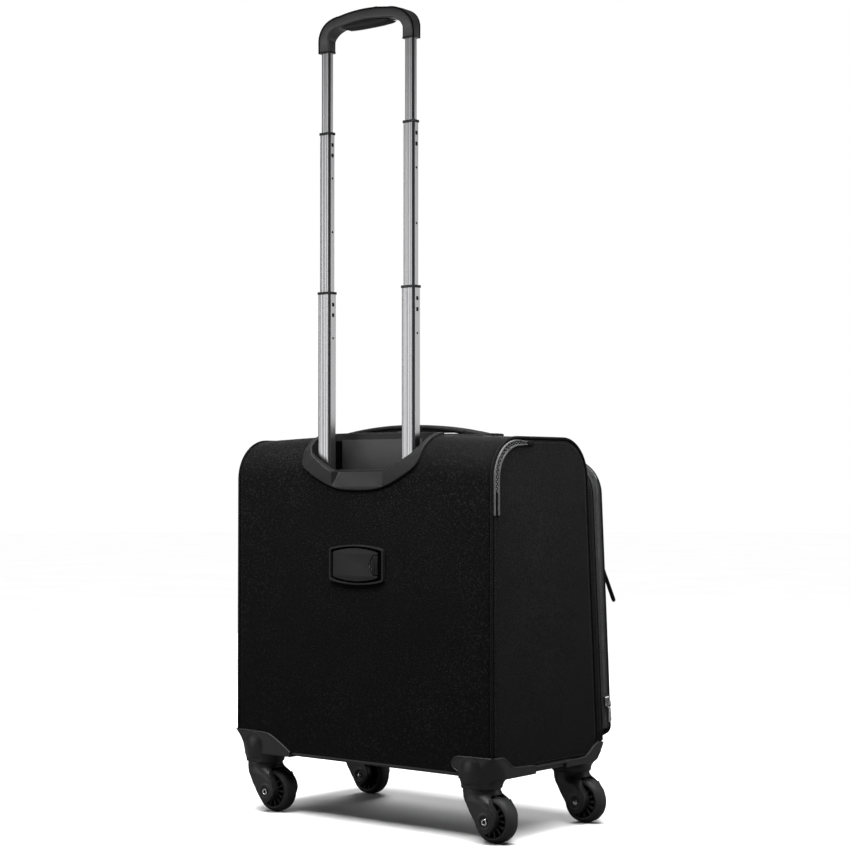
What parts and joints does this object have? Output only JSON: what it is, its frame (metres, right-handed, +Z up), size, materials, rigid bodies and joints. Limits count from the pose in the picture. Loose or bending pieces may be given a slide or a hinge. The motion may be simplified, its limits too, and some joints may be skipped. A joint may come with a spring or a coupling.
{
  "type": "softside upright suitcase",
  "caption": "Softside upright wheeled case with telescopic pull handle, rounded body, front-opening lid, top carry strap and swivel casters.",
  "frame": {"origin": "on the floor under the middle of the whole object's box, with the handle drawn out", "axes": "+Z up; the back, with the telescopic handle, faces +Y and the lid faces -Y; X runs across the width"},
  "size_m": [0.4416, 0.2835, 1.0252],
  "materials": {
    "polyester": "matte woven",
    "lining": "matte woven",
    "moulded_plastic": "fine-grained satin",
    "soft_rubber": "matte",
    "anodised_aluminium": "anodised satin",
    "zip_tape": "woven tape with moulded coil",
    "zip_metal": "polished",
    "dark_metal": "dark gunmetal",
    "tyre_rubber": "matte",
    "steel": "bright"
  },
  "bodies": {
    "case": {"back_panel": "polyester", "top_panel": "polyester", "side_panel_left": "polyester", "side_panel_right": "polyester", "bottom_tray": "moulded_plastic", "front_frame": "polyester", "main_zip_case_half": "zip_tape", "back_lining": "lining", "laptop_divider": "lining", "handle_bezel": "moulded_plastic", "rear_zip": "zip_tape", "carry_tab_left": "soft_rubber", "carry_tab_right": "soft_rubber", "tag_frame": "moulded_plastic", "channel_left": "anodised_aluminium", "channel_right": "anodised_aluminium", "channel_foot": "moulded_plastic", "rear_left_housing": "moulded_plastic", "rear_right_housing": "moulded_plastic", "front_left_housing": "moulded_plastic", "front_right_housing": "moulded_plastic"},
    "lid": {"lid_shell": "polyester", "front_pocket": "polyester"},
    "stage_1": {"stage1_tube_left": "anodised_aluminium", "stage1_tube_right": "anodised_aluminium", "stage1_collar_left": "moulded_plastic", "stage1_collar_right": "moulded_plastic"},
    "stage_2": {"stage2_tube_left": "anodised_aluminium", "stage2_tube_right": "anodised_aluminium", "stage2_collar_left": "moulded_plastic", "stage2_collar_right": "moulded_plastic"},
    "stage_3": {"stage3_tube_left": "anodised_aluminium", "stage3_tube_right": "anodised_aluminium", "grip_shell": "moulded_plastic", "grip_insert": "soft_rubber"},
    "button": {"release_button": "moulded_plastic"},
    "carry_strap": {"carry_handle": "soft_rubber"},
    "tag_flap": {"tag_cover": "moulded_plastic"},
    "main_slider": {"main_slider": "zip_metal"},
    "main_pull": {"main_pull": "zip_metal"},
    "pocket_slider": {"pocket_slider": "dark_metal"},
    "pocket_pull": {"pocket_pull": "dark_metal"},
    "rear_slider": {"rear_slider": "dark_metal"},
    "rear_pull": {"rear_pull": "dark_metal"},
    "rear_left_swivel": {"rear_left_fork": "moulded_plastic", "rear_left_axle": "steel"},
    "rear_left_roller": {"rear_left_wheel": "moulded_plastic", "rear_left_tyre": "tyre_rubber"},
    "rear_right_swivel": {"rear_right_fork": "moulded_plastic", "rear_right_axle": "steel"},
    "rear_right_roller": {"rear_right_wheel": "moulded_plastic", "rear_right_tyre": "tyre_rubber"},
    "front_left_swivel": {"front_left_fork": "moulded_plastic", "front_left_axle": "steel"},
    "front_left_roller": {"front_left_wheel": "moulded_plastic", "front_left_tyre": "tyre_rubber"},
    "front_right_swivel": {"front_right_fork": "moulded_plastic", "front_right_axle": "steel"},
    "front_right_roller": {"front_right_wheel": "moulded_plastic", "front_right_tyre": "tyre_rubber"}
  },
  "joints": [
    {"name": "lid_hinge", "type": "hinge", "parent": "case", "child": "lid", "pos_m": [0.007, -0.10712, 0.10294], "axis": [1, 0, 0], "range_deg": [0, 90]},
    {"name": "handle_stage_1_slide", "type": "slide", "parent": "case", "child": "stage_1", "axis": [0, 0, 1], "range_m": [-0.223, 0]},
    {"name": "handle_stage_2_slide", "type": "slide", "parent": "stage_1", "child": "stage_2", "axis": [0, 0, 1], "range_m": [-0.201, 0]},
    {"name": "handle_stage_3_slide", "type": "slide", "parent": "stage_2", "child": "stage_3", "axis": [0, 0, 1], "range_m": [-0.101, 0]},
    {"name": "release_button_press", "type": "slide", "parent": "stage_3", "child": "button", "axis": [0, 0, -1], "range_m": [0, 0.0035], "stiffness_N_per_m": 400},
    {"name": "carry_strap_lift", "type": "slide", "parent": "case", "child": "carry_strap", "axis": [0, 0, 1], "range_m": [0, 0.01]},
    {"name": "tag_flap_hinge", "type": "hinge", "parent": "case", "child": "tag_flap", "pos_m": [0.0475, 0.1338, 0.3245], "axis": [0, 0, -1], "range_deg": [0, 90]},
    {"name": "main_zip_slide", "type": "slide", "parent": "case", "child": "main_slider", "axis": [0, 0.0654, 0.9979], "range_m": [-0.018, 0.245]},
    {"name": "main_pull_swing", "type": "hinge", "parent": "main_slider", "child": "main_pull", "pos_m": [-0.2085, -0.1031, 0.14978], "axis": [0, 0.9979, -0.0654], "range_deg": [0, 150]},
    {"name": "pocket_zip_slide", "type": "slide", "parent": "lid", "child": "pocket_slider", "axis": [0, 0.0654, 0.9979], "range_m": [-0.16, 0.065]},
    {"name": "pocket_pull_swing", "type": "hinge", "parent": "pocket_slider", "child": "pocket_pull", "pos_m": [-0.183, -0.12341, 0.32248], "axis": [-1, 0, 0], "range_deg": [-20, 120]},
    {"name": "rear_zip_slide", "type": "slide", "parent": "case", "child": "rear_slider", "axis": [1, 0, 0], "range_m": [-0.17, 0.185]},
    {"name": "rear_pull_swing", "type": "hinge", "parent": "rear_slider", "child": "rear_pull", "pos_m": [0.007, 0.052, 0.4908], "axis": [0, 1, 0], "range_deg": [0, 160]},
    {"name": "rear_left_swivel_turn", "type": "hinge", "parent": "case", "child": "rear_left_swivel", "pos_m": [0.186, 0.1128, 0.0628], "axis": [0, 0, 1], "continuous": true},
    {"name": "rear_left_wheel_roll", "type": "hinge", "parent": "rear_left_swivel", "child": "rear_left_roller", "pos_m": [0.1643, 0.1128, 0.0275], "axis": [0, 1, 0], "continuous": true},
    {"name": "rear_right_swivel_turn", "type": "hinge", "parent": "case", "child": "rear_right_swivel", "pos_m": [-0.172, 0.1128, 0.0628], "axis": [0, 0, 1], "continuous": true},
    {"name": "rear_right_wheel_roll", "type": "hinge", "parent": "rear_right_swivel", "child": "rear_right_roller", "pos_m": [-0.1937, 0.1128, 0.0275], "axis": [0, 1, 0], "continuous": true},
    {"name": "front_left_swivel_turn", "type": "hinge", "parent": "case", "child": "front_left_swivel", "pos_m": [0.186, -0.0722, 0.0628], "axis": [0, 0, 1], "continuous": true},
    {"name": "front_left_wheel_roll", "type": "hinge", "parent": "front_left_swivel", "child": "front_left_roller", "pos_m": [0.1643, -0.0722, 0.0275], "axis": [0, 1, 0], "continuous": true},
    {"name": "front_right_swivel_turn", "type": "hinge", "parent": "case", "child": "front_right_swivel", "pos_m": [-0.172, -0.0722, 0.0628], "axis": [0, 0, 1], "continuous": true},
    {"name": "front_right_wheel_roll", "type": "hinge", "parent": "front_right_swivel", "child": "front_right_roller", "pos_m": [-0.1937, -0.0722, 0.0275], "axis": [0, 1, 0], "continuous": true}
  ]
}
